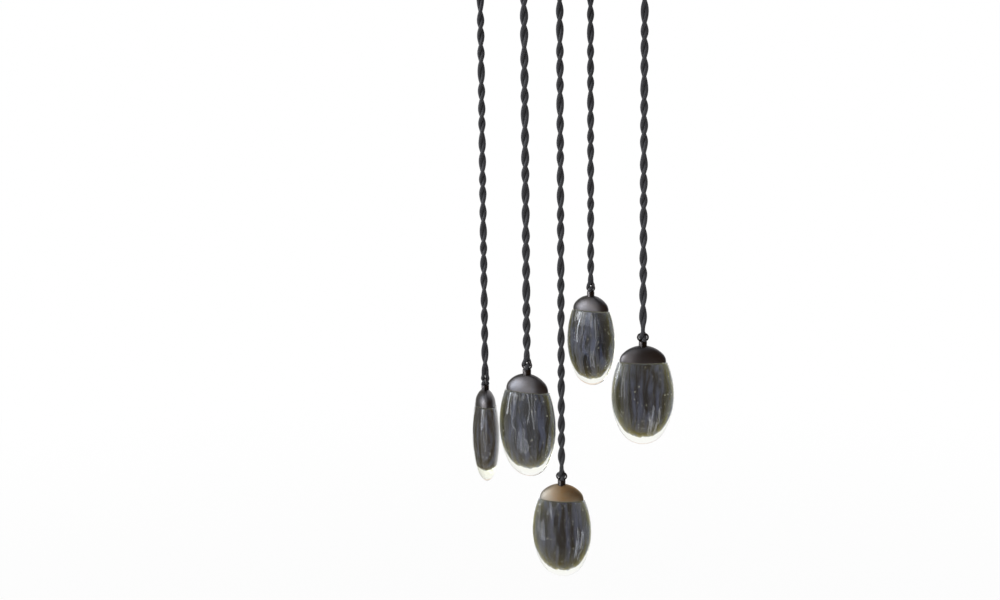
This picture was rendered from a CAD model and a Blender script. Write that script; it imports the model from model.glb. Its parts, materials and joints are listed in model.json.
import json
import math

import bmesh
import bpy
import numpy as np
from bpy.props import FloatProperty, FloatVectorProperty, IntProperty, PointerProperty
from mathutils import Matrix, Vector


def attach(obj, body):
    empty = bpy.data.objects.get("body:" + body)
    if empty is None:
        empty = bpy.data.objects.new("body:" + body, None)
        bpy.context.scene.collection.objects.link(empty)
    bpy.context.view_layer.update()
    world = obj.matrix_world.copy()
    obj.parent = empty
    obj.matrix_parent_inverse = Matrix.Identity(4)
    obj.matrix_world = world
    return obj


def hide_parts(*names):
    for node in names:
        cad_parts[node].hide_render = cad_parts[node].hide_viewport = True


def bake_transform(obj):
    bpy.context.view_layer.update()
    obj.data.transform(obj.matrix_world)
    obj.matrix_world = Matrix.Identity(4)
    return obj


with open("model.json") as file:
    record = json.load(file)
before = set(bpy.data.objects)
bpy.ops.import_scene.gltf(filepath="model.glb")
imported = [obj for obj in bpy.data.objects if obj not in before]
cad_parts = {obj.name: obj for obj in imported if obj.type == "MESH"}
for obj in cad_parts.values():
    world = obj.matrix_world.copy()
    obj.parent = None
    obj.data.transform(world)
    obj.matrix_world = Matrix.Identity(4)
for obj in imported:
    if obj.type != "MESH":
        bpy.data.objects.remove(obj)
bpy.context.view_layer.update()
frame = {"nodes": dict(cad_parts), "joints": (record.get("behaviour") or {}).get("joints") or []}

bl_info = {
    "name": "Pebble pendant light",
    "version": (1, 0, 0),
    "blender": (4, 5, 0),
    "location": "3D View > Sidebar > Pendant",
    "description": "Finishes a cluster pendant of five glass pebbles on twisted flexes",
    "category": "Object",
}

DROPS = range(1, 6)
# Where each drop's cores part and its head turns.
PARTINGS = {int(joint["name"][-1]): joint["pos_m"] for joint in frame["joints"]
            if joint["name"].startswith("turn_")}
HALF_TURN = math.pi
FULL_TURN = 2 * math.pi
WHITE = (1, 1, 1, 1)
# How much higher than usual a head's smoky heart ends, in metres.
HEART_LIFTS = {1: 0.007, 2: 0.001, 3: 0.0, 4: 0.0, 5: -0.0004}
# How far a head's smoke is brown rather than slate.
HEART_WARMTHS = {1: 0.25, 2: 0.0, 3: 0.0, 4: 0.05, 5: 0.08}
# The golden cap, and how strong the worn colour is at each rim and on that cap's left.
RUBBED_CAP, RIM_RUB, LEFT_RUB = 5, 0.8, 0.9
# The random draws of drop k start from this number plus k.
FIRST_DRAW = 40
# Seeds: least and greatest depth in the glass, room without any above the bottom and below
# the cap, root of the share of the full size, radius added to each, and upright stretch.
SEED_DEPTHS, SEED_ROOM = (0.0012, 0.0030), (0.014, 0.006)
SEED_SHARES, LEAST_SEED, SEED_STRETCH = (0.3, 1.0), 0.0001, (1.0, 1.8)
# Distance from the axis within which a surface is pushed outwards less.
CALM_AXIS = 0.006
# Points of a mesh that are nearer to each other than this are merged.
MERGED = 1e-7
# Sines of the glass: turns round the axis, and radians up it in a metre.
PEBBLE_WAVES = ((3, 60), (5, -95), (8, 120), (11, -170))
HEART_FOLDS = ((7, 14), (11, -22), (4, 30), (17, 9))
# Sines of a heart's ragged edge: radians across in a metre, weight, and times the start.
RAG = ((430, 1.0, 1), (810, 0.7, 2), (1370, 0.5, 3))
# Radians for each drop at which they start.
RAG_START = 1.7
# Sines of a twist's stray: radians up in a metre, weight, and radians for each drop.
STRAYS = ((74, 1.0, 2), (171, 0.6, 5))
# One core's way past the ring, through the eye and down to the neck, in the head's frame.
EYE_ROUTE = ((0, 0.0022, 0.018), (0, 0.0022, 0.0156), (0.0014, 0.0032, 0.0126),
             (0.0023, 0.0012, 0.0097), (0.0023, -0.0014, 0.0091), (0.0014, -0.0029, 0.0072),
             (0.0008, -0.0029, 0.005))
# Share of the crown's reach at which its rings have come to be flat, and the chamfer of
# the hole in it.
CROWN_BLEND, HOLE_CHAMFER = 0.8, 0.0004
# Counts of points on the arcs and blends of the profiles.
EDGE_POINTS, ROUND_POINTS, SIDE_POINTS = 5, 7, 44
CROWN_RINGS, SHOULDER_RINGS, HOLLOW_RINGS, BOSS_RINGS = 14, 22, 14, 8
BEND_POINTS, LID_RINGS = 25, 9
FLAG_ROWS, FLAG_COLUMNS, FLOOR_RINGS, FLOOR_COLUMNS = 13, 25, 25, 64
# Points on the curves between two control points.
ROUTE_POINTS, EYE_POINTS = 48, 24
# From one column and one row of nodes to the next, and where a material's own nodes stand.
NODE_COLUMN, NODE_ROW, SHADER_PLACE, OUTPUT_PLACE = 200, 260, 900, 1300
# The height about which the studio stands.
MIDDLE = -0.5
PANE_COLOUR = (0.90, 0.94, 1.0)
# Its windows: azimuth from and to, elevation from and to, in degrees, and brightness.
PANES = (
    (-116, -102, 2, 38, 3.0),
    (-99, -88, 2, 38, 4.0),
    (-85, -72, 2, 38, 3.0),
    (-69, -58, 2, 34, 2.2),
)
# Narrow panes that only gloss shows.
GLINTS = (
    (-98, -94, -9, 36, 9.0),
    (-88, -86, -9, 36, 4.0),
    (-79, -76, -24, 36, 4.5),
    (-64, -61, -30, -16, 5.0),
    (-59, -57, -30, -14, 3.5),
    (-55, -53, -31, -17, 4.5),
    (-50, -47, -12, 12, 4.0),
    (-41, -38, -14, 12, 3.0),
    (15, 17, -46, -18, 5.0),
    (19, 22, -44, -20, 3.8),
    (31, 34, -48, -20, 5.5),
    (37, 39, -46, -22, 4.5),
)
# Cards that one kind of ray meets: that kind, azimuths, elevations, distance and shade.
# They darken the caps' right sides and the glass's left edges, or lighten what shows through.
FLAGS = {
    "grey_flag": ("glossy", -28, 125, -62, 88, 2.3, (0.25, 0.25, 0.26)),
    "brown_flag": ("glossy", -22, 100, -36, 62, 2.25, (0.105, 0.063, 0.034)),
    "olive_flag": ("glossy", -158, -106, -55, 60, 2.3, (0.16, 0.15, 0.11)),
    "peach_flag": ("transmission", 150, 210, 1, 20, 2.3, (0.88, 0.75, 0.65)),
}
# The floor's reach, where its fade to white starts and ends, and how white it starts.
FLOOR_REACH, FADE_FROM, FADE_TO, FADE_START = 12.0, 2.0, 9.0, 0.94
SENSOR_MM = 36.0
# Bronzes: name, which finishes are its bare, warm and worn colour, and its patina.
BRONZES = {
    "cap": ("Dark patinated bronze", "cap_bronze", "cap_warm", "cap_worn",
            dict(cloud=45.0, grain=3200.0, smooth=0.32, rough=0.42, mask="rubbed")),
    "golden_cap": ("Rubbed golden bronze", "golden_bronze", "golden_warm", "golden_worn",
                   dict(cloud=45.0, grain=2600.0, smooth=0.5, rough=0.6, mask="rubbed")),
    "dark_bronze": ("Polished dark bronze", "neck_bronze", "cap_warm", "cap_worn",
                    dict(cloud=160.0, smooth=0.14, rough=0.24, grain_height=0.01)),
    "canopy_bronze": ("Satin canopy bronze", "canopy_bronze", "cap_warm", "cap_worn",
                      dict(cloud=14.0, grain=1800.0, smooth=0.38, rough=0.5)),
}
# Plain metals: name, bare, warm and worn colour, and the patina's settings.
METALS = {
    "zinc_steel": ("Zinc plated steel", (196, 199, 205), (176, 182, 190), (210, 212, 216),
                   dict(cloud=90.0, grain=900.0, smooth=0.32, rough=0.5)),
    "stud_brass": ("Turned brass", (222, 190, 118), (206, 170, 98), (232, 206, 140),
                   dict(cloud=200.0, smooth=0.2, rough=0.34)),
    "polished_steel": ("Polished steel", (206, 208, 212), (190, 194, 200), (220, 222, 226),
                       dict(cloud=120.0, smooth=0.08, rough=0.18, grain_height=0.01)),
    "sink_aluminium": ("Turned aluminium", (212, 213, 216), (200, 202, 206), (226, 227, 230),
                       dict(cloud=220.0, smooth=0.25, rough=0.4)),
}
# Moulded stuff: name, two near colours, and the grain's settings.
MOULDINGS = {
    "black_rubber": ("Black rubber", (38, 38, 39), (46, 45, 45),
                     dict(scale=1800.0, smooth=0.62, rough=0.8)),
    "driver_case": ("White driver case", (226, 226, 222), (218, 219, 214),
                    dict(scale=2400.0, grain_height=0.2, smooth=0.42, rough=0.55)),
    "terminal_plastic": ("Cream terminal plastic", (226, 219, 196), (218, 210, 186),
                         dict(smooth=0.22, rough=0.34)),
    "board_resin": ("White board resin", (238, 238, 234), (230, 229, 218),
                    dict(smooth=0.24, rough=0.36)),
}


# Properties that a user would change


def length(name, text, metres):
    """A size in metres."""
    return FloatProperty(name=name, description=text, default=metres, min=0.0,
                         precision=5, unit="LENGTH")


def height(name, text, metres):
    """A place in metres, below zero where it hangs under the ceiling."""
    return FloatProperty(name=name, description=text, default=metres, precision=5,
                         unit="LENGTH")


def turn(name, text, degrees):
    """An angle, given in degrees."""
    return FloatProperty(name=name, description=text, default=math.radians(degrees),
                         subtype="ANGLE", unit="ROTATION")


def amount(name, text, value):
    """A plain number."""
    return FloatProperty(name=name, description=text, default=value, min=0.0)


def count(name, text, value, least=0):
    """A number of like things."""
    return IntProperty(name=name, description=text, default=value, min=least)


def each(name, text, values, unit):
    """One value for each drop."""
    return FloatVectorProperty(name=name, description=text, default=values, size=len(values),
                               precision=5, unit=unit)


def linear(red, green, blue):
    """A colour as seen on a screen, each part from 0 to 255, as the light that it gives."""
    seen = np.array((red, green, blue)) / 255
    high = ((seen + 0.055) / 1.055) ** 2.4
    return tuple(float(part) for part in np.where(seen <= 0.04045, seen / 12.92, high))


def colour(name, text, red, green, blue):
    """A colour property, given as seen on a screen."""
    return FloatVectorProperty(name=name, description=text, default=linear(red, green, blue),
                               size=3, min=0.0, max=1.0, subtype="COLOR")


class HeadSizes(bpy.types.PropertyGroup):
    """Sizes of a pebble, its cap, neck and eye, and how each of them is turned."""

    width: length("Width", "Glass from side to side at its widest", 0.070)
    thickness: length("Thickness", "Glass from front to back at its widest", 0.032)
    height: length("Height", "From the top of the cap to the bottom of the glass", 0.113)
    widest: length("Widest depth", "From the top of the cap to the widest place", 0.0575)
    bottom_radius: length("Bottom radius", "Radius of the glass's lowest arc", 0.028)
    shoulder_step: length("Shoulder step", "How far the glass stands out below the cap", 0.0018)
    glass_edge: length("Glass edge", "Rounding of the glass's shoulder", 0.0008)
    tenon_height: length("Tenon height", "How far the glass reaches up into the cap", 0.004)
    tenon_gap: length("Tenon gap", "Room round the tenon inside the cap", 0.0008)
    cap_width: length("Cap width", "Cap from side to side at its rim", 0.052)
    cap_height: length("Cap height", "From the rim to the top of the cap", 0.0185)
    crown_radius: length("Crown radius", "Radius of the cap's top arc", 0.031)
    crown_thickness: length("Crown thickness", "Metal below the neck", 0.006)
    cap_wall: length("Cap wall", "Thickness of the cap's side", 0.0018)
    rim_edge: length("Rim edge", "Rounding of the cap's rim", 0.00035)
    boss_radius: length("Boss radius", "Radius of the boss inside the crown", 0.007)
    shank_hole: length("Shank hole", "Radius of the hole through the crown", 0.0026)
    seal: length("Seal", "Height of the clear seal under the cap", 0.0008)
    seal_inset: length("Seal inset", "How far the seal stands back from the rim", 0.0003)
    neck_radius: length("Neck radius", "Radius of the neck", 0.0046)
    neck_height: length("Neck height", "Height of the neck above the cap", 0.005)
    neck_land: length("Neck land", "Depth of the flat that the neck stands on", 0.002)
    neck_gap: length("Neck gap", "Room round the neck in its land", 0.0003)
    neck_edge: length("Neck edge", "Chamfer on the neck's top", 0.0005)
    eye_wire: length("Eye wire", "Thickness of the eye's ring", 0.002)
    eye_end_radius: length("Eye end radius", "Radius of the ring's round ends", 0.004)
    eye_flat: length("Eye flat", "Straight stretch of the ring between its ends", 0.0035)
    eye_sink: length("Eye sink", "How far the ring is let into the neck", 0.0008)
    angles: each("Angles", "Each head, from the X axis to its wide axis",
                 tuple(map(math.radians, (-82, -35, -42, -5, -12))), "ROTATION")


class GlassLook(bpy.types.PropertyGroup):
    """The clear casing, the smoky heart inside it and the seeds in the glass."""

    heart_side: length("Heart side", "Clear glass beside the smoky heart", 0.0010)
    heart_front: length("Heart front", "Clear glass in front of the heart", 0.0006)
    heart_back: length("Heart back", "Clear glass behind the heart", 0.0026)
    heart_bottom: length("Heart bottom", "Clear glass below the heart", 0.0086)
    heart_round: length("Heart round", "Height over which the heart's end thins", 0.011)
    heart_fold: length("Heart fold", "Depth of the heart's upright folds", 0.00035)
    heart_rag: length("Heart rag", "Unevenness of the heart's lower edge", 0.0009)
    wave: length("Wave", "Depth of the slow waves in the glass's surface", 0.00020)
    calm_end: length("Calm end", "Height above the bottom over which the waves fade", 0.035)
    casing_colour: colour("Casing colour", "Tint of the clear glass", 240, 242, 190)
    casing_depth: amount("Casing depth", "Strength of the clear glass's tint", 9.0)
    heart_colour: colour("Heart colour", "Tint of the smoky glass", 188, 185, 139)
    heart_depth: amount("Heart depth", "Strength of the smoky glass's tint", 350.0)
    veil_dark: colour("Veil dark", "Light that the smoke gives back at its darkest", 36, 36, 41)
    veil_light: colour("Veil light", "Light that a pale veil gives back", 64, 67, 80)
    veil_warm: colour("Veil warm", "Light given back near the heart's end", 92, 80, 50)
    speck: colour("Speck", "Light that a tiny bubble gives back", 186, 184, 164)
    seed_count: count("Seeds", "Bubbles in each pebble", 26)
    seed_size: length("Seed size", "Radius of a large bubble", 0.00055)


class FlexSizes(bpy.types.PropertyGroup):
    """Sizes of the twisted flexes and of their parted cores."""

    strand: length("Strand", "Thickness of one covered core", 0.0044)
    top: height("Top", "Where the flexes leave their stops", -0.026)
    mouth: height("Mouth", "Just below the outlets' mouths", -0.060)
    parting: length("Parting", "Height above the cap where the cores part", 0.018)
    lead: length("Lead", "Stretch above the parting that hangs straightest", 0.030)
    lobe_spacing: length("Lobe spacing", "From one lobe of the twist to the next", 0.0204)
    step: length("Step", "From one ring of a strand's surface to the next", 0.0014)
    eye_step: length("Eye step", "The same at the eye", 0.00045)
    ease: length("Ease", "Stretch over which the twist ends", 0.008)
    settle: length("Settle", "Stretch in which the twist turns to meet the eye", 0.070)
    wander: turn("Wander", "How far the twist runs ahead or falls behind", 16)
    lobes: each("Lobes", "Height of each flex's lowest lobe above its cap",
                (0.0277, 0.0282, 0.0315, 0.0390, 0.0317), "LENGTH")
    eye_core: length("Eye core", "Thickness of a core where it passes the eye", 0.0044)
    narrowing: length("Narrowing", "Height over which a core comes to that", 0.006)
    carriers: amount("Carriers", "Threads round the woven cover", 12.0)


class ScrewSizes(bpy.types.PropertyGroup):
    """Sizes and places of the canopy's side screws."""

    count: count("Count", "Side screws round the canopy", 4)
    first: turn("First", "From the X axis to the first side screw", -25.3)
    level: height("Level", "Height of the side screws", -0.012)
    outer: length("Outer", "From the canopy's axis to the outside of a head", 0.13915)
    head_length: length("Head length", "Height of a knurled head", 0.004)
    head_radius: length("Head radius", "Radius of a knurled head", 0.0045)
    shank_radius: length("Shank radius", "Radius of the threaded shank", 0.002)
    tip: length("Tip", "From the canopy's axis to the end of a shank", 0.1266)
    bevel: length("Bevel", "Bevel of the head's edges", 0.0005)
    dish: length("Dish", "Depth of the hollow in the head", 0.0004)
    teeth: count("Teeth", "Teeth round a knurled head", 36, least=3)
    cut: amount("Cut", "Depth of the teeth as a share of the radius", 0.035)


class Finishes(bpy.types.PropertyGroup):
    """Colours of the metals and the fabric."""

    cap_bronze: colour("Cap bronze", "Dark patina of the caps", 95, 95, 99)
    cap_warm: colour("Cap warm bronze", "Browner patches of the patina", 94, 90, 90)
    golden_bronze: colour("Golden bronze", "Where the patina is rubbed off", 161, 148, 123)
    golden_warm: colour("Golden warm bronze", "Browner patches there", 163, 131, 92)
    golden_worn: colour("Golden worn bronze", "Greyer side of the golden cap", 152, 149, 144)
    cap_worn: colour("Cap worn edge", "Rubbed bronze at the rims", 112, 102, 96)
    neck_bronze: colour("Neck bronze", "Polished dark bronze", 58, 56, 56)
    canopy_bronze: colour("Canopy bronze", "Satin dark canopy", 66, 60, 57)
    fabric: colour("Fabric", "Charcoal of the woven cover", 33, 33, 36)
    fabric_light: colour("Fabric light", "Paler threads of the woven cover", 98, 98, 103)


class StageLook(bpy.types.PropertyGroup):
    """The camera and the plain studio."""

    camera_x: height("Camera X", "The camera's place along X", -0.0702)
    camera_y: height("Camera Y", "The camera's place along Y", -1.2072)
    camera_z: height("Camera Z", "The camera's place along Z", -0.273)
    camera_pitch: turn("Camera pitch", "How far the camera looks down", 7.0)
    camera_roll: turn("Camera roll", "How far the camera leans", 0.634)
    focal_share: amount("Focal share", "Focal length over the width of the picture", 1.055)
    floor: height("Floor", "Height of the floor", -2.4)
    ambient: amount("Ambient", "Strength of the light from all round", 0.55)
    pane_reach: length("Pane reach", "From the studio's middle to the windows", 2.0)


def chosen(group):
    """The user's sizes or looks of one kind."""
    return getattr(bpy.context.scene, f"pendant_{group}")


# Surfaces


def surface(points, close_rows=False, close_columns=True):
    """A grid of points [row, column] as points, quads and the place of each corner in the
    unrolled grid. Rows run down and columns run anticlockwise, so each quad, taken in the
    order here, below, below and beside, beside, faces outwards."""
    rows, columns = points.shape[:2]
    row = np.arange(rows if close_rows else rows - 1)
    column = np.arange(columns if close_columns else columns - 1)
    row, column = np.meshgrid(row, column, indexing="ij")
    down = np.stack([row, row + 1, row + 1, row], axis=-1)
    along = np.stack([column, column, column + 1, column + 1], axis=-1)
    quads = (down % rows) * columns + along % columns
    corners = np.stack([along / columns, down / rows], axis=-1)
    return points.reshape(-1, 3), quads.reshape(-1, 4), corners.reshape(-1, 2)


def joined(surfaces):
    """Several surfaces as one, each set's quads counted on from the last set's points."""
    starts = np.cumsum([0] + [len(points) for points, _, _ in surfaces[:-1]])
    points, quads, corners = zip(*surfaces)
    quads = [some + start for some, start in zip(quads, starts)]
    return np.concatenate(points), np.concatenate(quads), np.concatenate(corners)


def moved(shape, matrix):
    """A surface taken through a 4 by 4 matrix: turned by its corner, shifted by its edge."""
    points, quads, corners = shape
    grid = np.array(matrix)
    return points @ grid[:3, :3].T + grid[:3, 3], quads, corners


def new_object(name, shape, material):
    """An object with a mesh of a surface's points and quads."""
    mesh = bpy.data.meshes.new(name)
    mesh.from_pydata(shape[0].tolist(), [], shape[1].tolist())
    mesh.materials.append(material)
    thing = bpy.data.objects.new(name, mesh)
    bpy.context.scene.collection.objects.link(thing)
    return thing


def piece(name, shape, material, body, nodes=(), crease=38.0, ride=True):
    """A piece from a surface, with its poles merged, smooth but for its creases."""
    thing = new_object(name, shape, material)
    mesh = thing.data
    layer = mesh.uv_layers.new(name="Along")
    layer.data.foreach_set("uv", shape[2].astype(np.float32).ravel())
    shell = bmesh.new()
    shell.from_mesh(mesh)
    bmesh.ops.remove_doubles(shell, verts=shell.verts, dist=MERGED)
    shell.to_mesh(mesh)
    shell.free()
    mesh.polygons.foreach_set("use_smooth", np.ones(len(mesh.polygons), bool))
    mesh.set_sharp_from_angle(angle=math.radians(crease))
    if nodes:
        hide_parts(*nodes)
    if ride:
        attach(thing, body)
    return thing


def places(mesh):
    """The places of a mesh's points, one to a row."""
    spots = np.empty(len(mesh.vertices) * 3)
    mesh.vertices.foreach_get("co", spots)
    return spots.reshape(-1, 3)


def set_attribute(thing, name, values):
    """A value for each of a piece's points, for its material to read."""
    layer = thing.data.attributes.new(name, "FLOAT", "POINT")
    layer.data.foreach_set("value", values.astype(np.float32))


def circle(columns):
    """Even angles round a full turn."""
    return np.arange(columns) * FULL_TURN / columns


def arc(across, level, radius, start, stop, count):
    """Points [half width, height] on an arc about (across, level), from one angle above
    straight out to another, both in radians, ends included."""
    angles = np.linspace(start, stop, count)
    return np.stack([across + radius * np.cos(angles), level + radius * np.sin(angles)], axis=-1)


def rings(profile, flatness, columns):
    """A profile [half width, height] carried round the upright axis: across is half width
    times the cosine, back is half width times flatness times the sine."""
    angles = circle(columns)
    flat = np.broadcast_to(flatness, (len(profile),))[:, None]
    wide = profile[:, :1]
    return np.stack([wide * np.cos(angles), wide * flat * np.sin(angles),
                     np.broadcast_to(profile[:, 1:], (len(profile), columns))], axis=-1)


def directions(line):
    """The direction of a line at each of its points, of length 1."""
    ahead = np.gradient(line, axis=0)
    return ahead / np.linalg.norm(ahead, axis=1, keepdims=True)


def tube(path, across, radius, sides=14):
    """A round tube along a path: the section's first axis is across less its part along the
    path, the second is square to both, and the point at each angle is the path plus radius
    times the cosine of the first and the sine of the second. The ends close on the path."""
    ahead = directions(path)
    first = across - ahead * np.sum(across * ahead, axis=1, keepdims=True)
    first /= np.linalg.norm(first, axis=1, keepdims=True)
    second = np.cross(first, ahead)
    angles = circle(sides)[:, None]
    wide = np.broadcast_to(radius, (len(path),))[:, None, None]
    ring = path[:, None] + wide * (first[:, None] * np.cos(angles)
                                   + second[:, None] * np.sin(angles))
    ends = np.repeat(path[[0, -1], None], sides, axis=1)
    return np.concatenate([ends[:1], ring, ends[1:]])


def smooth_step(share):
    """From 0 to 1 with level ends: the square of the share times three less twice it."""
    return share * share * (3 - 2 * share)


# Shading


def fill(tree, target, inputs):
    """Give each named input of a node its value, or link it to another node's output."""
    for key, value in inputs.items():
        if isinstance(value, bpy.types.NodeSocket):
            tree.links.new(value, target.inputs[key])
        else:
            target.inputs[key].default_value = value


def node(tree, kind, inputs=None, **settings):
    """A node with its settings and inputs, placed to the right of what feeds it."""
    new = tree.nodes.new(kind)
    for key, value in settings.items():
        setattr(new, key, value)
    inputs = inputs or {}
    fill(tree, new, inputs)
    column = max([0] + [value.node.location.x + NODE_COLUMN for value in inputs.values()
                        if isinstance(value, bpy.types.NodeSocket)])
    above = sum(other.location.x == column for other in tree.nodes if other != new)
    new.location = (column, -NODE_ROW * above)
    return new


def noise(tree, where, scale, detail, roughness=0.5):
    """The outputs of a noise at a place."""
    return node(tree, "ShaderNodeTexNoise", {"Vector": where, "Scale": scale, "Detail": detail,
                                             "Roughness": roughness}).outputs


def ranged(tree, value, low=0.0, high=1.0, to_low=0.0, to_high=1.0, way="LINEAR"):
    """A value carried from one range to another."""
    return node(tree, "ShaderNodeMapRange",
                {"Value": value, "From Min": low, "From Max": high, "To Min": to_low,
                 "To Max": to_high}, interpolation_type=way).outputs["Result"]


def mixed(tree, factor, first, second):
    """Two colours mixed by a factor."""
    return node(tree, "ShaderNodeMix", {"Factor": factor, 6: first, 7: second},
                data_type="RGBA").outputs[2]


def maths(tree, operation, *values):
    """One sum of one or two values."""
    return node(tree, "ShaderNodeMath", dict(enumerate(values)), operation=operation).outputs[0]


def bumped(tree, strength, level, distance):
    """A normal that is tilted by a height."""
    return node(tree, "ShaderNodeBump", {"Strength": strength, "Height": level,
                                         "Distance": distance}).outputs["Normal"]


def object_place(tree):
    return node(tree, "ShaderNodeTexCoord").outputs["Object"]


def opaque(rgb):
    return (*rgb, 1.0)


def new_material(name, **sockets):
    """A material with one Principled BSDF, whose plain sockets are set."""
    material = bpy.data.materials.new(name)
    material.use_nodes = True
    tree = material.node_tree
    shader = tree.nodes["Principled BSDF"]
    shader.location.x = SHADER_PLACE
    tree.nodes["Material Output"].location.x = OUTPUT_PLACE
    fill(tree, shader, {key.replace("_", " "): value for key, value in sockets.items()})
    return material, tree, shader


def new_group(name, **inputs):
    """A shader node group with a socket of the right kind for each default, and the values
    that it is given."""
    tree = bpy.data.node_groups.new(name, "ShaderNodeTree")
    for socket, value in inputs.items():
        kind = "Float" if isinstance(value, float) else {3: "Vector", 4: "Color"}[len(value)]
        made = tree.interface.new_socket(name=socket.replace("_", " "), in_out="INPUT",
                                         socket_type=f"NodeSocket{kind}")
        made.default_value = value
    return tree, tree.nodes.new("NodeGroupInput").outputs


def put_out(tree, **results):
    """Give a group's results out by sockets of their own kind."""
    for socket, result in results.items():
        kind = {"VALUE": "Float", "RGBA": "Color", "VECTOR": "Vector"}[result.type]
        tree.interface.new_socket(name=socket, in_out="OUTPUT", socket_type=f"NodeSocket{kind}")
    node(tree, "NodeGroupOutput", results)
    return tree


def place_group(tree, name, builder, **values):
    """The outputs of a shared group in a material, built the first time that it is used."""
    group = bpy.data.node_groups.get(name) or builder(name)
    values = {socket.replace("_", " "): value for socket, value in values.items()}
    return node(tree, "ShaderNodeGroup", values, node_tree=group).outputs


def patina_group(name):
    """Metal that has darkened unevenly: broad clouds mix the bare and the warm colour, a
    fine grain moves the roughness and the height, and a mask brings out the worn colour."""
    tree, given = new_group(name, Bare=WHITE, Warm=WHITE, Worn=WHITE, Mask=0.0,
                            Cloud_Scale=60.0, Grain_Scale=2500.0, Smoothest=0.3,
                            Roughest=0.45, Height=0.02)
    where = object_place(tree)
    cloud = noise(tree, where, given["Cloud Scale"], detail=5.0, roughness=0.6)["Fac"]
    grain = noise(tree, where, given["Grain Scale"], detail=3.0, roughness=0.55)["Fac"]
    tint = mixed(tree, ranged(tree, cloud, 0.36, 0.64), given["Bare"], given["Warm"])
    rough = ranged(tree, maths(tree, "ADD", cloud, grain), 0.7, 1.3, given["Smoothest"],
                   given["Roughest"])
    return put_out(tree, Color=mixed(tree, given["Mask"], tint, given["Worn"]), Roughness=rough,
                   Normal=bumped(tree, given["Height"], grain, distance=0.0004))


def braid_group(name):
    """A woven cover: threads run both ways round the core at half a right angle, each goes
    over the other in every second crossing, and a thread's height is a half sine across."""
    tree, given = new_group(name, Vector=(0, 0, 0), Carriers=12.0, Dark=WHITE, Light=WHITE,
                            Height=0.5)
    split = node(tree, "ShaderNodeSeparateXYZ", {0: given["Vector"]}).outputs
    around, along = (maths(tree, "MULTIPLY", split[axis], given["Carriers"]) for axis in "XY")
    ways = [maths(tree, operation, around, along) for operation in ("ADD", "SUBTRACT")]
    heights = [maths(tree, "SINE", maths(tree, "MULTIPLY", maths(tree, "FRACT", way), HALF_TURN))
               for way in ways]
    floors = [maths(tree, "FLOOR", way) for way in ways]
    over = maths(tree, "PINGPONG", maths(tree, "ADD", *floors), 1.0)
    thread = node(tree, "ShaderNodeMix", {"Factor": over, 2: heights[0], 3: heights[1]},
                  data_type="FLOAT").outputs[0]
    fuzz = noise(tree, object_place(tree), 900.0, detail=3.0)["Fac"]
    shade = maths(tree, "MULTIPLY", thread, fuzz)
    return put_out(tree, Color=mixed(tree, shade, given["Dark"], given["Light"]),
                   Roughness=ranged(tree, fuzz, to_low=0.48, to_high=0.85),
                   Normal=bumped(tree, given["Height"], thread, distance=0.00025))


def moulded_group(name):
    """Moulded or cast stuff: a fine grain in the height and the roughness, and slow clouds
    between two near colours."""
    tree, given = new_group(name, First=WHITE, Second=WHITE, Scale=1500.0, Height=0.1,
                            Smoothest=0.4, Roughest=0.6)
    where = object_place(tree)
    slow = noise(tree, where, 35.0, detail=3.0)["Fac"]
    grain = noise(tree, where, given["Scale"], detail=2.0)["Fac"]
    rough = ranged(tree, grain, to_low=given["Smoothest"], to_high=given["Roughest"])
    return put_out(tree, Color=mixed(tree, slow, given["First"], given["Second"]),
                   Roughness=rough, Normal=bumped(tree, given["Height"], grain, distance=0.0003))


def veils_group(name):
    """Smoke veils: upright wavy streaks, from a noise that is drawn out along Z and turned
    aside by a slower one, as a weight between two levels and as a shade, which goes over to
    the warm one by the warmth. In one cell of a few, the middle holds a pale speck."""
    tree, given = new_group(name, Dark=WHITE, Light=WHITE, Warm=WHITE, Speck=WHITE, Warmth=0.0)
    where = object_place(tree)
    aside = node(tree, "ShaderNodeVectorMath",
                 {0: noise(tree, where, 32.0, detail=1.0)["Color"], "Scale": 0.012},
                 operation="SCALE")
    place = node(tree, "ShaderNodeVectorMath", {0: where, 1: aside.outputs[0]}, operation="ADD")
    drawn = node(tree, "ShaderNodeVectorMath", {0: place.outputs[0], 1: (190, 190, 18)},
                 operation="MULTIPLY")
    streaks = noise(tree, drawn.outputs[0], 1.0, detail=2.0)["Fac"]
    level = ranged(tree, streaks, 0.36, 0.72, way="SMOOTHSTEP")
    shade = mixed(tree, level, given["Dark"], given["Light"])
    shade = mixed(tree, given["Warmth"], shade, given["Warm"])
    cells = node(tree, "ShaderNodeTexVoronoi", {"Vector": where, "Scale": 240.0}).outputs
    near = ranged(tree, cells["Distance"], 0.10, 0.22, to_low=1.0, to_high=0.0)
    parts = node(tree, "ShaderNodeSeparateColor", {0: cells["Color"]}).outputs
    bright = maths(tree, "MULTIPLY", near, ranged(tree, parts[0], 0.45, 1.0))
    return put_out(tree, Weight=ranged(tree, level, to_low=0.1),
                   Color=mixed(tree, bright, shade, given["Speck"]))


def feed(tree, group, shader):
    """Link a group's colour, roughness and normal to the shader."""
    fill(tree, shader, {"Base Color": group["Color"], "Roughness": group["Roughness"],
                        "Normal": group["Normal"]})


def metal(name, bare, warm, worn, cloud=60.0, grain=2500.0, smooth=0.3, rough=0.45,
          grain_height=0.03, mask=None):
    """A metal with an uneven patina. A mask names an attribute of the piece that is 1 where
    the metal is rubbed bare."""
    material, tree, shader = new_material(name, Metallic=1.0)
    rubbed = {}
    if mask:
        rubbed["Mask"] = node(tree, "ShaderNodeAttribute", attribute_name=mask).outputs["Fac"]
    feed(tree, place_group(tree, "Uneven patina", patina_group, Bare=opaque(bare),
                           Warm=opaque(warm), Worn=opaque(worn), Cloud_Scale=cloud,
                           Grain_Scale=grain, Smoothest=smooth, Roughest=rough,
                           Height=grain_height, **rubbed), shader)
    return material


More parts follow.
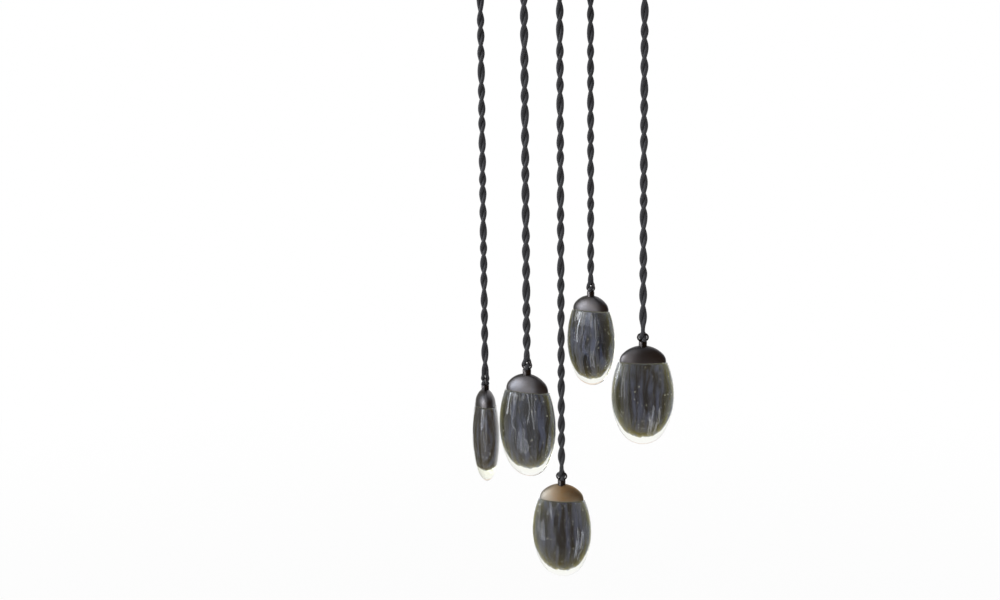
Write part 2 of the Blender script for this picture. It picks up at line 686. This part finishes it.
def moulded(name, first, second, scale=1500.0, grain_height=0.1, smooth=0.4, rough=0.6,
            **sockets):
    """A moulded plastic, rubber or resin."""
    material, tree, shader = new_material(name, **sockets)
    feed(tree, place_group(tree, "Moulded grain", moulded_group, First=opaque(first),
                           Second=opaque(second), Scale=scale, Height=grain_height,
                           Smoothest=smooth, Roughest=rough), shader)
    return material


def glass(name, tint, depth, **sockets):
    """Clear stuff that takes its tint from the light's way through it."""
    material, tree, shader = new_material(name, Base_Color=WHITE, Roughness=0.0,
                                          Transmission_Weight=1.0, Coat_IOR=1.4, **sockets)
    inside = node(tree, "ShaderNodeVolumeAbsorption", {"Color": opaque(tint), "Density": depth})
    fill(tree, tree.nodes["Material Output"], {"Volume": inside.outputs[0]})
    return material, tree, shader


def clear_glass():
    """Clear casing glass, with a faint yellow green that shows at its thick edges."""
    look = chosen("glass")
    return glass("Clear casing glass", look.casing_colour, look.casing_depth, IOR=1.1,
                 Coat_Weight=1.0, Coat_Roughness=0.0)[0]


def smoky_glass():
    """The smoky heart, cased in the clear glass and fused with it, so that light does not
    bend between the two. The light that the smoke scatters is a faint emission."""
    look = chosen("glass")
    material, tree, shader = glass("Smoky heart glass", look.heart_colour, look.heart_depth,
                                   IOR=1.0, Coat_Roughness=0.06,
                                   Coat_Tint=opaque(linear(226, 232, 255)),
                                   Emission_Strength=1.0)
    low = node(tree, "ShaderNodeAttribute", attribute_name="warmth")
    veils = place_group(tree, "Smoke veils", veils_group, Dark=opaque(look.veil_dark),
                        Light=opaque(look.veil_light), Warm=opaque(look.veil_warm),
                        Speck=opaque(look.speck), Warmth=low.outputs["Fac"])
    fill(tree, shader, {"Coat Weight": veils["Weight"], "Emission Color": veils["Color"]})
    return material


def clear_seal():
    """Clear silicone, slightly frosted."""
    return moulded("Clear silicone", linear(226, 226, 214), linear(214, 216, 200), scale=900.0,
                   smooth=0.12, rough=0.25, Transmission_Weight=0.9, IOR=1.2)


def woven_cover():
    """Charcoal rayon braided over each core."""
    look = chosen("finishes")
    material, tree, shader = new_material("Braided rayon cover", Sheen_Weight=0.12,
                                          Sheen_Roughness=0.4, Specular_IOR_Level=0.4)
    where = node(tree, "ShaderNodeUVMap", uv_map="Along").outputs[0]
    feed(tree, place_group(tree, "Braided cover", braid_group, Vector=where,
                           Carriers=chosen("flex").carriers, Dark=opaque(look.fabric),
                           Light=opaque(look.fabric_light), Height=0.6), shader)
    return material


def finish(kind):
    """The material that the tables give for a kind."""
    if kind in BRONZES:
        name, *tints, settings = BRONZES[kind]
        return metal(name, *(getattr(chosen("finishes"), tint) for tint in tints), **settings)
    maker, table = (metal, METALS) if kind in METALS else (moulded, MOULDINGS)
    name, *tints, settings = table[kind]
    return maker(name, *(linear(*tint) for tint in tints), **settings)


# Heads


def head_matrix(k):
    """From a head's own frame, at the top of its cap, to the whole light's frame."""
    at = Vector(PARTINGS[k])
    at.z -= chosen("flex").parting
    return Matrix.Translation(at) @ Matrix.Rotation(chosen("head").angles[k - 1], 4, "Z")


def pebble_outline(s):
    """Half the front outline of a pebble, from the rounded shoulder down: the shoulder's
    edge, an arc out to the widest place, an arc in again and the lowest arc. The upper and
    lower arcs stand upright at the widest place, and the lower one meets the lowest one
    without a corner."""
    top, middle, low = -(s.cap_height + s.seal), -s.widest, -s.height
    shoulder, edge, side, end = (s.cap_width / 2 + s.shoulder_step, s.glass_edge, s.width / 2,
                                 s.bottom_radius)
    rise = top - edge - middle
    upper = ((side - shoulder) ** 2 + rise ** 2) / (2 * (side - shoulder))
    drop = middle - low
    lower = (side ** 2 + drop ** 2 - 2 * drop * end) / (2 * (side - end))
    meeting = -math.atan2(drop - end, lower - side)
    return np.concatenate([
        arc(shoulder - edge, top - edge, edge, HALF_TURN / 2, 0, ROUND_POINTS),
        arc(side - upper, middle, upper, math.asin(rise / upper), 0, SIDE_POINTS)[1:],
        arc(side - lower, middle, lower, 0, meeting, SIDE_POINTS)[1:],
        arc(0, low + end, end, meeting, -HALF_TURN / 2, SIDE_POINTS)[1:],
    ])


def hollow_flatness(s):
    """Thickness over width of the hollow in a cap, whose wall is the same all round."""
    rim = s.cap_width / 2
    return (rim * (s.thickness / s.width) - s.cap_wall) / (rim - s.cap_wall)


def pebble(s, columns=300):
    """The clear glass: its tenon, level shoulder and pebble, as rings from the tenon's top to
    the bottom pole. Each ring keeps its own share of thickness to width."""
    shoulder_arc = cap_shoulder_radius(s)
    room = s.cap_width / 2 - shoulder_arc + math.sqrt((shoulder_arc - s.cap_wall) ** 2
                                                      - s.tenon_height ** 2)
    wide = room - s.tenon_gap
    tenon_flat = (room * hollow_flatness(s) - s.tenon_gap) / wide
    top = -s.cap_height + s.tenon_height
    edge = s.glass_edge / 2
    tenon = np.concatenate([
        [[0, top]],
        np.stack([np.linspace(0.1, 0.9, LID_RINGS) * wide, np.full(LID_RINGS, top)], axis=-1),
        arc(wide - edge, top - edge, edge, HALF_TURN / 2, 0, EDGE_POINTS),
        [[wide, -(s.cap_height + s.seal)]],
    ])
    outside = pebble_outline(s)
    flatness = np.concatenate([np.full(len(tenon), tenon_flat),
                               np.full(len(outside), s.thickness / s.width)])
    return rings(np.concatenate([tenon, outside]), flatness, columns)


def waves(points, depth, rng, sines):
    """Slow waves: for each point the sum, over several sines of its angle round the axis and
    its height, each with its own start, as a distance outwards."""
    angle = np.arctan2(points[..., 1], points[..., 0])
    total = np.zeros(angle.shape)
    for turns, rise in sines:
        total += np.sin(turns * angle + points[..., 2] * rise + rng.uniform(0, FULL_TURN))
    return depth * total / len(sines)


def facing(points, s, reach):
    """How far a point is on a broad face rather than at a narrow side: the square of the sine
    of its angle round a ring, with the ring drawn out to a circle. It falls to 0 evenly over
    a reach above the bottom."""
    back = points[..., 1] ** 2
    broad = back / np.maximum(back + (s.thickness / s.width * points[..., 0]) ** 2, 1e-12)
    return broad * np.clip((points[..., 2] + s.height) / reach, 0, 1)


def pushed(points, distance):
    """A ring grid pushed outwards in the level plane by a distance at each point, which fades
    evenly to 0 at the axis."""
    out = points[..., :2]
    reach = np.maximum(np.linalg.norm(out, axis=-1), 1e-9)
    share = np.clip(reach / CALM_AXIS, 0, 1) * distance / reach
    return np.concatenate([out * (1 + share[..., None]), points[..., 2:]], axis=-1)


def low_share(levels, s):
    """How far a level is below the widest place, as a share of the way to the bottom."""
    return np.clip((-s.widest - levels) / (s.height - s.widest), 0, 1)


def heart(s, look, lift, start, columns=176):
    """The smoky heart: it keeps a little inside the pebble's outline, and ever further inside
    below the widest place, by the low share to the power of 2.5. Its end thins as a quarter
    ellipse, and its lower edge is raised and dropped by three sines of the place across,
    which fade out upwards."""
    outline = pebble_outline(s)
    ahead = directions(outline)
    bottom = look.heart_bottom + lift
    inset = look.heart_side + (bottom - look.heart_side) * low_share(outline[:, 1], s) ** 2.5
    profile = outline - inset[:, None] * np.stack([-ahead[:, 1], ahead[:, 0]], axis=-1)
    profile[0] = outline[0] - [0, look.heart_side]
    profile[-1] = [0, bottom - s.height]
    wide = np.interp(-profile[:, 1], -outline[:, 1], outline[:, 0])
    ended = np.clip((bottom - s.height + look.heart_round - profile[:, 1]) / look.heart_round,
                    0, 1)
    thick = wide * s.thickness / s.width - (look.heart_front + look.heart_back) / 2
    flat = thick * np.sqrt(1 - ended ** 2) / np.maximum(profile[:, 0], 1e-6)
    lid = np.linspace(0, 1, LID_RINGS)[:-1, None] * [profile[0, 0], 0] + [0, profile[0, 1]]
    points = rings(np.concatenate([lid, profile]),
                   np.concatenate([np.full(len(lid), flat[0]), flat]), columns)
    ripple = sum(weight * np.sin(points[..., 0] * rate + times * start)
                 for rate, weight, times in RAG)
    points[..., 2] += look.heart_rag * ripple * low_share(points[..., 2], s) ** 4
    points[..., 1] -= (look.heart_back - look.heart_front) / 2
    return points


def seeds(s, look, rng):
    """Bubbles left in the casing glass: small spheres, drawn upright, with their surface
    turned to face the air inside them, placed at random between the heart and the faces."""
    flat = s.thickness / s.width
    outline = pebble_outline(s)
    made = []
    above, below = SEED_ROOM
    for _ in range(look.seed_count):
        level = rng.uniform(-s.height + above, -s.cap_height - below)
        angle = rng.uniform(0, FULL_TURN)
        wide = np.interp(-level, -outline[:, 1], outline[:, 0])
        depth = rng.uniform(*SEED_DEPTHS)
        middle = np.array([(wide - depth) * math.cos(angle),
                           (wide * flat - depth) * math.sin(angle), level])
        radius = look.seed_size * rng.uniform(*SEED_SHARES) ** 2 + LEAST_SEED
        ball = arc(0, 0, radius, HALF_TURN / 2, -HALF_TURN / 2, ROUND_POINTS)[::-1]
        ball[[0, -1], 0] = 0
        points = rings(ball, 1.0, 10)
        points[..., 2] *= rng.uniform(*SEED_STRETCH)
        made.append(surface(points + middle))
    return made


def seal_band(s, columns=120):
    """The clear seal: an upright band, slightly rounded outside, between rim and shoulder."""
    high, low = -s.cap_height, -(s.cap_height + s.seal)
    inner = s.cap_width / 2 - s.cap_wall
    bulge = arc(s.cap_width / 2 - s.seal_inset - s.seal / 2, (high + low) / 2, s.seal / 2,
                HALF_TURN / 2, -HALF_TURN / 2, ROUND_POINTS)
    profile = np.concatenate([bulge, [[inner, low], [inner, high]]])
    return surface(rings(profile, s.thickness / s.width, columns), close_rows=True)


def cap_shoulder_radius(s):
    """Radius of the arc that joins the crown to the upright rim."""
    rim = s.cap_width / 2
    return ((2 * s.crown_radius * s.cap_height - rim ** 2 - s.cap_height ** 2)
            / (2 * (s.crown_radius - rim)))


def cap_shell(s, columns=160):
    """The cap as one closed band of rings: from its land out over the crown and the shoulder
    to the rim, round the rim, up the hollow and in over the boss to the shank hole. Near the
    neck the rings are round and follow the crown's own height; further out they are as flat
    as the pebble."""
    rim, drop, crown = s.cap_width / 2, s.cap_height, s.crown_radius
    flat, inside_flat = s.thickness / s.width, hollow_flatness(s)
    shoulder = cap_shoulder_radius(s)
    middle = rim - shoulder
    meeting = math.atan2(crown - drop, middle)
    angles = circle(columns)

    def ring(wide, thick, level):
        x, y = wide * np.cos(angles), thick * np.sin(angles)
        return np.stack([x, y, np.broadcast_to(level, x.shape)], axis=-1)

    def on_dome(wide, thick, radius, squeeze):
        """A ring on a squeezed ball about the crown's centre."""
        reach = np.hypot(wide * np.cos(angles), thick * np.sin(angles) / squeeze)
        return ring(wide, thick, np.sqrt(radius ** 2 - reach ** 2) - crown)

    land = s.neck_radius + s.neck_gap
    edge_of_land = on_dome(land, land, crown, flat)
    floor_of_land = edge_of_land.copy()
    floor_of_land[:, 2] = np.minimum(floor_of_land[:, 2], -s.neck_land)
    grid = [ring(s.neck_radius / 2, s.neck_radius / 2, -s.neck_land), floor_of_land,
            edge_of_land]
    clear = crown * math.cos(meeting)
    blend_to = clear * CROWN_BLEND
    for t in np.linspace(0, 1, CROWN_RINGS)[1:]:
        grid.append(on_dome(land + (blend_to - land) * t, land + (blend_to * flat - land) * t,
                            crown, flat))
    for wide in np.linspace(blend_to, clear, EDGE_POINTS)[1:]:
        grid.append(on_dome(wide, wide * flat, crown, flat))
    side = arc(middle, -drop, shoulder, meeting, math.asin(s.rim_edge / shoulder),
               SHOULDER_RINGS)[1:]
    edge = arc(rim - s.rim_edge, -drop + s.rim_edge, s.rim_edge, 0, -HALF_TURN / 2,
               EDGE_POINTS)[1:]
    grid += [ring(wide, wide * flat, level) for wide, level in (*side, *edge)]
    lip = rim - s.cap_wall
    inner = arc(middle, -drop, shoulder - s.cap_wall, 0, meeting, HOLLOW_RINGS)[1:]
    grid += [ring(wide, wide * inside_flat, level) for wide, level in ((lip, -drop), *inner)]
    under = crown - s.cap_wall
    start = under * math.cos(meeting)
    reach = math.sqrt(under ** 2 - (crown - s.crown_thickness) ** 2)
    boss = np.minimum(s.boss_radius,
                      reach / np.hypot(np.cos(angles), np.sin(angles) / inside_flat))
    for t in np.linspace(0, 1, BOSS_RINGS)[1:]:
        thick = start * inside_flat
        grid.append(on_dome(start + (boss - start) * t, thick + (boss - thick) * t, under,
                            inside_flat))
    grid += [ring(boss, boss, -s.crown_thickness),
             ring(s.shank_hole, s.shank_hole, -s.crown_thickness),
             ring(s.shank_hole, s.shank_hole, -s.neck_land - HOLE_CHAMFER)]
    return np.array(grid)


def neck_and_ring(s, columns=64, sides=20):
    """The turned neck, as rings round its axis, and the eye's ring: a round rod carried
    along two half circles and the two flats between them."""
    edge, radius, top, base = s.neck_edge, s.neck_radius, s.neck_height, -s.neck_land
    soft = edge / 4
    profile = np.array([
        [0, top], [radius - edge - soft, top], [radius - edge, top - soft / 2],
        [radius - soft / 2, top - edge], [radius, top - edge - soft], [radius, base + soft],
        [radius - soft, base], [0, base]])
    neck = surface(rings(profile, 1.0, columns))
    bend, half = s.eye_end_radius, s.eye_flat / 2
    level = top - s.eye_sink + s.eye_wire / 2 + bend
    line = np.concatenate([
        arc(half, level, bend, HALF_TURN / 2, -HALF_TURN / 2, BEND_POINTS),
        arc(-half, level, bend, -HALF_TURN / 2, -1.5 * HALF_TURN, BEND_POINTS)])
    centre = np.repeat([[half, level], [-half, level]], BEND_POINTS, axis=0)
    path, away = (np.insert(flat, 1, 0, axis=1)[:, None]
                  for flat in (line, (line - centre) / bend))
    angles = circle(sides)[:, None]
    ring = path + s.eye_wire / 2 * (away * np.cos(angles) + np.array([0, 1, 0]) * np.sin(angles))
    return joined([neck, surface(ring, close_rows=True)])


# Flexes


def spline_points(name, controls, resolution):
    """Points along the smooth curve that has the given control points."""
    curve = bpy.data.curves.new(name, "CURVE")
    curve.dimensions = "3D"
    curve.resolution_u = resolution
    spline = curve.splines.new("NURBS")
    spline.points.add(len(controls) - 1)
    for point, place in zip(spline.points, controls):
        point.co = (*place, 1.0)
    spline.order_u = 3
    spline.use_endpoint_u = True
    holder = bpy.data.objects.new(name, curve)
    mesh = bpy.data.meshes.new_from_object(holder)
    points = places(mesh)
    bpy.data.meshes.remove(mesh)
    bpy.data.objects.remove(holder)
    bpy.data.curves.remove(curve)
    return points


def spaced(points, step):
    """Points at even steps along a line of points, found by their distance along it."""
    run = np.concatenate([[0], np.cumsum(np.linalg.norm(np.diff(points, axis=0), axis=1))])
    wanted = np.linspace(0, run[-1], max(2, round(run[-1] / step) + 1))
    return np.stack([np.interp(wanted, run, points[:, i]) for i in range(3)], axis=-1), wanted


def twist_angles(k, above, s):
    """The angle of one core round the flex's axis, for each height above the parting: half a
    turn for each lobe spacing, counted from the lobe nearest the cap, where the cores lie
    side by side as seen by the camera. The turning eases to nothing at the parting, and the
    rest of the turn that is missing there is made up over the settling stretch."""
    stage = chosen("stage")
    x, y, _ = PARTINGS[k]
    toward_camera = math.atan2(y - stage.camera_y, x - stage.camera_x) + HALF_TURN / 2
    eased = np.where(above < s.ease, above ** 2 / (2 * s.ease), above - s.ease / 2)
    lobe = s.lobes[k - 1] - s.parting
    turned = HALF_TURN * (eased - (lobe - s.ease / 2)) / s.lobe_spacing
    stray = s.wander * sum(weight * np.sin(above * rate + start * k)
                           for rate, weight, start in STRAYS)
    angle = toward_camera + turned + stray * np.clip(above / s.settle, 0, 1)
    wanted = chosen("head").angles[k - 1] + HALF_TURN / 2
    missing = (wanted - angle[-1] + HALF_TURN / 2) % HALF_TURN - HALF_TURN / 2
    return angle + missing * smooth_step(np.clip(1 - above / s.settle, 0, 1))


def covered_core(line, across, radius, run, girth):
    """A core's tube, and the corners of its unrolled grid, with the place along it in whole
    girths, so that the weave keeps its shape."""
    points, quads, corners = surface(tube(line, across, radius))
    rows = np.concatenate([[run[0]], run, [run[-1]]]) / girth
    corners[:, 1] = rows[np.rint(corners[:, 1] * len(rows)).astype(int)]
    return points, quads, corners


def twisted_pair(k):
    """Both cores of a flex: each follows the flex's line at half a core's thickness from it,
    at the twist's angle, and the other stands half a turn on. The line runs from the stop
    through the outlet's mouth, straight down to where the cores part."""
    s = chosen("flex")
    x, y, end = Vector(PARTINGS[k])
    controls = [(x, y, z) for z in (s.top, s.mouth, end + s.lead, end)]
    line, run = spaced(spline_points(f"route_{k}", controls, ROUTE_POINTS), s.step)
    angle = twist_angles(k, line[:, 2] - line[-1, 2], s)
    radius = s.strand / 2
    cores = []
    for start in (0, HALF_TURN):
        out = np.stack([np.cos(angle + start), np.sin(angle + start), np.zeros(len(line))],
                       axis=-1)
        cores.append(covered_core(line + out * radius, out, radius, run, FULL_TURN * radius))
    return joined(cores), line


def parted_cores(k):
    """The two cores below the twist: round rods that narrow to the eye, along their own
    smooth lines."""
    s = chosen("flex")
    cores = []
    for side in (1, -1):
        controls = [(-side * x, -side * y, z) for x, y, z in EYE_ROUTE]
        line, run = spaced(spline_points(f"parting_{k}", controls, EYE_POINTS), s.eye_step)
        drop = np.clip((s.parting - line[:, 2]) / s.narrowing, 0, 1)
        radius = s.strand / 2 + (s.eye_core - s.strand) / 2 * smooth_step(drop)
        across = np.tile([[1.0, 0.0, 0.0]], (len(line), 1))
        core = covered_core(line, across, radius, run, FULL_TURN * (s.strand / 2))
        cores.append(moved(core, head_matrix(k)))
    return joined(cores)


# Fittings


def side_screw(s):
    """One side screw as rings down from its head: a dished end, a knurled rim, whose teeth
    are a cosine of the angle, and a plain shank."""
    radius, base = s.head_radius, s.outer - s.head_length
    profile = np.array([
        [0, s.outer - s.dish], [radius / 2 - s.dish, s.outer - s.dish], [radius / 2, s.outer],
        [radius - s.bevel, s.outer], [radius, s.outer - s.bevel], [radius, base + s.bevel],
        [radius - s.bevel, base], [s.shank_radius, base],
        [s.shank_radius, s.tip + s.bevel], [s.shank_radius - s.bevel, s.tip], [0, s.tip]])
    columns = 4 * s.teeth
    points = rings(profile, 1.0, columns)
    cut = s.cut * (0.5 - 0.5 * np.cos(s.teeth * circle(columns)))
    points[np.isclose(profile[:, 0], radius), :, :2] *= (1 - cut)[:, None]
    return surface(points)


# Operators


class PENDANT_OT_glass(bpy.types.Operator):
    """Make the five glass pebbles with their smoky hearts, seeds and seals"""

    bl_idname = "pendant.glass"
    bl_label = "Glass pebbles"

    def execute(self, context):
        s, look = chosen("head"), chosen("glass")
        clear, smoky, seal = clear_glass(), smoky_glass(), clear_seal()
        for k in DROPS:
            matrix, head = head_matrix(k), f"head_{k}"
            rng = np.random.default_rng(FIRST_DRAW + k)
            body = pebble(s)
            ripples = waves(body, look.wave, rng, PEBBLE_WAVES) * facing(body, s, look.calm_end)
            parts = [surface(pushed(body, ripples)), *seeds(s, look, rng)]
            piece(f"pebble_{k}", joined([moved(part, matrix) for part in parts]), clear, head,
                  (f"glass_{k}",), crease=50.0)
            core = heart(s, look, HEART_LIFTS[k], RAG_START * k)
            core = pushed(core, waves(core, look.heart_fold, rng, HEART_FOLDS))
            thing = piece(f"smoky_heart_{k}", moved(surface(core), matrix), smoky, head,
                          crease=60.0)
            low = low_share(places(thing.data)[:, 2] - matrix.translation.z, s)
            set_attribute(thing, "warmth", np.clip(HEART_WARMTHS[k] + low ** 3, 0, 1))
            piece(f"clear_seal_{k}", moved(seal_band(s), matrix), seal, head,
                  (f"seal_{k}",))
        return {"FINISHED"}


class PENDANT_OT_caps(bpy.types.Operator):
    """Make the five domed caps, with their necks and eyes"""

    bl_idname = "pendant.caps"
    bl_label = "Caps and eyes"

    def execute(self, context):
        s = chosen("head")
        bronze, golden, polished = map(finish, ("cap", "golden_cap", "dark_bronze"))
        for k in DROPS:
            matrix, head = head_matrix(k), f"head_{k}"
            shape = moved(surface(cap_shell(s), close_rows=True), matrix)
            cap = piece(f"domed_cap_{k}", shape, golden if k == RUBBED_CAP else bronze, head,
                        (f"cap_{k}",), crease=45.0)
            spots = places(cap.data) - matrix.translation
            above_rim = spots[:, 2] + s.cap_height
            rubbed = np.clip(1 - above_rim / (2 * s.rim_edge), 0, 1) * RIM_RUB
            if k == RUBBED_CAP:
                left = np.clip(-2 * spots[:, 0] / s.cap_width, 0, 1)
                rubbed = np.maximum(rubbed, LEFT_RUB * left)
            set_attribute(cap, "rubbed", rubbed)
            piece(f"neck_and_eye_{k}", moved(neck_and_ring(s), matrix), polished, head,
                  (f"hanging_eye_{k}",))
        return {"FINISHED"}


class PENDANT_OT_flexes(bpy.types.Operator):
    """Make the twisted flexes and their parted cores"""

    bl_idname = "pendant.flexes"
    bl_label = "Twisted flexes"

    def execute(self, context):
        s = chosen("flex")
        cover = woven_cover()
        for k in DROPS:
            head = f"head_{k}"
            tails = piece(f"parted_cores_{k}", parted_cores(k), cover, head,
                          (f"flex_tails_{k}",), crease=70.0)
            shape, line = twisted_pair(k)
            flex = piece(f"twisted_flex_{k}", shape, cover, head,
                         (f"flex_{k}",), crease=70.0, ride=False)
            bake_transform(flex)
        return {"FINISHED"}


class PENDANT_OT_fittings(bpy.types.Operator):
    """Finish the canopy, the outlets and all that is inside"""

    bl_idname = "pendant.fittings"
    bl_label = "Canopy and fittings"

    def execute(self, context):
        s = chosen("screws")
        made = {"dark_bronze": finish("dark_bronze")}
        outwards = Matrix.Rotation(HALF_TURN / 2, 4, "Y")
        screws = []
        for number in range(s.count):
            around = Matrix.Rotation(s.first + number * FULL_TURN / s.count, 4, "Z")
            screws.append(moved(side_screw(s),
                                Matrix.Translation((0, 0, s.level)) @ around @ outwards))
        piece("side_screws", joined(screws), made["dark_bronze"], "canopy",
              ("canopy_screws",), crease=30.0)
        for thing in frame["nodes"].values():
            if thing.hide_render:
                continue
            kind = thing.material_slots[0].material.name.split(".")[0]
            if kind not in made:
                made[kind] = finish(kind)
            thing.material_slots[0].material = made[kind]
        return {"FINISHED"}


def window_pane(name, left, right, low, high, brightness, mirrored):
    """A soft lamp that fills a field of azimuth and elevation, seen from the light. Its power
    is its brightness times its area times pi. A mirrored one shows in gloss alone."""
    reach = chosen("stage").pane_reach
    azimuth, elevation = math.radians((left + right) / 2), math.radians((low + high) / 2)
    level = math.cos(elevation)
    lamp = bpy.data.lights.new(name, "AREA")
    lamp.shape = "RECTANGLE"
    lamp.size = 2 * reach * level * math.tan(math.radians((right - left) / 2))
    lamp.size_y = 2 * reach * math.tan(math.radians((high - low) / 2))
    lamp.energy = brightness * lamp.size * lamp.size_y * math.pi
    lamp.color = PANE_COLOUR
    thing = bpy.data.objects.new(name, lamp)
    bpy.context.scene.collection.objects.link(thing)
    away = reach * Vector((math.sin(azimuth) * level, -math.cos(azimuth) * level,
                           math.sin(elevation)))
    thing.location = away + Vector((0, 0, MIDDLE))
    thing.rotation_euler = away.to_track_quat("Z", "Y").to_euler()
    thing.visible_camera = False
    thing.visible_diffuse = not mirrored


def flag(name, seen_by, left, right, low, high, reach, shade):
    """A curved card that only one kind of ray meets: a field of azimuth and elevation on a
    ball about the studio's middle, in one even shade."""
    elevations, azimuths = np.meshgrid(np.radians(np.linspace(high, low, FLAG_ROWS)),
                                       np.radians(np.linspace(left, right, FLAG_COLUMNS)),
                                       indexing="ij")
    points = np.stack([reach * np.sin(azimuths) * np.cos(elevations),
                       -reach * np.cos(azimuths) * np.cos(elevations),
                       MIDDLE + reach * np.sin(elevations)], axis=-1)
    material = new_material(name, Base_Color=(0, 0, 0, 1), Roughness=1.0,
                            Emission_Color=opaque(shade), Emission_Strength=1.0)[0]
    card = new_object(name, surface(points, close_columns=False), material)
    for kind in ("camera", "diffuse", "glossy", "transmission", "shadow", "volume_scatter"):
        setattr(card, f"visible_{kind}", kind == seen_by)


def blend_shaders(tree, factor, first, second, output):
    """The surface of a material or world, mixed from two shaders by a factor."""
    mix = node(tree, "ShaderNodeMixShader", {0: factor, 1: first.outputs[0],
                                             2: second.outputs[0]})
    fill(tree, tree.nodes[output], {"Surface": mix.outputs[0]})


def studio_world(ambient):
    """White for what the camera, mirrors and glass see, and a softer light for the rest."""
    world = bpy.data.worlds.new("Studio")
    world.use_nodes = True
    tree = world.node_tree
    soft = tree.nodes["Background"]
    fill(tree, soft, {"Color": WHITE, "Strength": ambient})
    white = node(tree, "ShaderNodeBackground", {"Color": WHITE, "Strength": 1.0})
    path = node(tree, "ShaderNodeLightPath").outputs
    seen = maths(tree, "MAXIMUM", path["Is Camera Ray"], path["Is Glossy Ray"])
    seen = maths(tree, "MAXIMUM", seen, path["Is Transmission Ray"])
    blend_shaders(tree, seen, soft, white, "World Output")
    bpy.context.scene.world = world


def pale_floor(level):
    """A level round floor, pale under the light and fading to the white of the studio. Light
    that it sends on to the object is that of the pale floor alone."""
    rim = np.linspace(0, FLOOR_REACH, FLOOR_RINGS)
    material, tree, shader = new_material("Pale floor", Base_Color=opaque(linear(244, 244, 242)),
                                          Roughness=0.8)
    flat = node(tree, "ShaderNodeVectorMath", {0: object_place(tree), 1: (1, 1, 0)},
                operation="MULTIPLY")
    reach = node(tree, "ShaderNodeVectorMath", {0: flat.outputs[0]}, operation="LENGTH")
    fade = ranged(tree, reach.outputs["Value"], FADE_FROM, FADE_TO, FADE_START, 1.0, "SMOOTHSTEP")
    path = node(tree, "ShaderNodeLightPath").outputs
    direct = maths(tree, "SUBTRACT", 1.0, path["Is Diffuse Ray"])
    glow = node(tree, "ShaderNodeEmission", {"Color": WHITE, "Strength": 1.0})
    blend_shaders(tree, maths(tree, "MULTIPLY", fade, direct), shader, glow, "Material Output")
    grid = rings(np.stack([rim, np.full(FLOOR_RINGS, level)], axis=-1), 1.0, FLOOR_COLUMNS)
    floor = new_object("floor", surface(grid), material)


class PENDANT_OT_stage(bpy.types.Operator):
    """Set up the floor, the lamps, the world and the camera"""

    bl_idname = "pendant.stage"
    bl_label = "Stage"

    def execute(self, context):
        scene, look = context.scene, chosen("stage")
        scene.view_settings.view_transform = "Standard"
        studio_world(look.ambient)
        pale_floor(look.floor)
        for kind, panes in (("pane", PANES), ("glint", GLINTS)):
            for number, pane in enumerate(panes):
                window_pane(f"{kind}_{number}", *pane, mirrored=kind == "glint")
        for name, card in FLAGS.items():
            flag(name, *card)
        data = bpy.data.cameras.new("camera")
        data.sensor_width = SENSOR_MM
        data.lens = look.focal_share * data.sensor_width
        data.clip_start = 0.02
        camera = bpy.data.objects.new("camera", data)
        scene.collection.objects.link(camera)
        camera.matrix_world = (
            Matrix.Translation((look.camera_x, look.camera_y, look.camera_z))
            @ Matrix.Rotation(HALF_TURN / 2 - look.camera_pitch, 4, "X")
            @ Matrix.Rotation(-look.camera_roll, 4, "Z"))
        scene.camera = camera
        return {"FINISHED"}


class PENDANT_PT_panel(bpy.types.Panel):
    """The steps that finish the light, in order"""

    bl_idname = "PENDANT_PT_panel"
    bl_label = "Pebble pendant light"
    bl_space_type = "VIEW_3D"
    bl_region_type = "UI"
    bl_category = "Pendant"

    def draw(self, context):
        for step in STEPS:
            self.layout.operator(step.bl_idname)


STEPS = (PENDANT_OT_glass, PENDANT_OT_caps, PENDANT_OT_flexes, PENDANT_OT_fittings,
         PENDANT_OT_stage)
GROUPS = {"head": HeadSizes, "glass": GlassLook, "flex": FlexSizes, "screws": ScrewSizes,
          "finishes": Finishes, "stage": StageLook}


def register():
    for kind in (*GROUPS.values(), *STEPS, PENDANT_PT_panel):
        bpy.utils.register_class(kind)
    for name, group in GROUPS.items():
        setattr(bpy.types.Scene, f"pendant_{name}", PointerProperty(type=group))


def unregister():
    for name in GROUPS:
        delattr(bpy.types.Scene, f"pendant_{name}")
    for kind in (PENDANT_PT_panel, *reversed(STEPS), *reversed(GROUPS.values())):
        bpy.utils.unregister_class(kind)


def main():
    register()
    bpy.ops.pendant.glass()
    bpy.ops.pendant.caps()
    bpy.ops.pendant.flexes()
    bpy.ops.pendant.fittings()
    bpy.ops.pendant.stage()


if __name__ == "__main__":
    main()
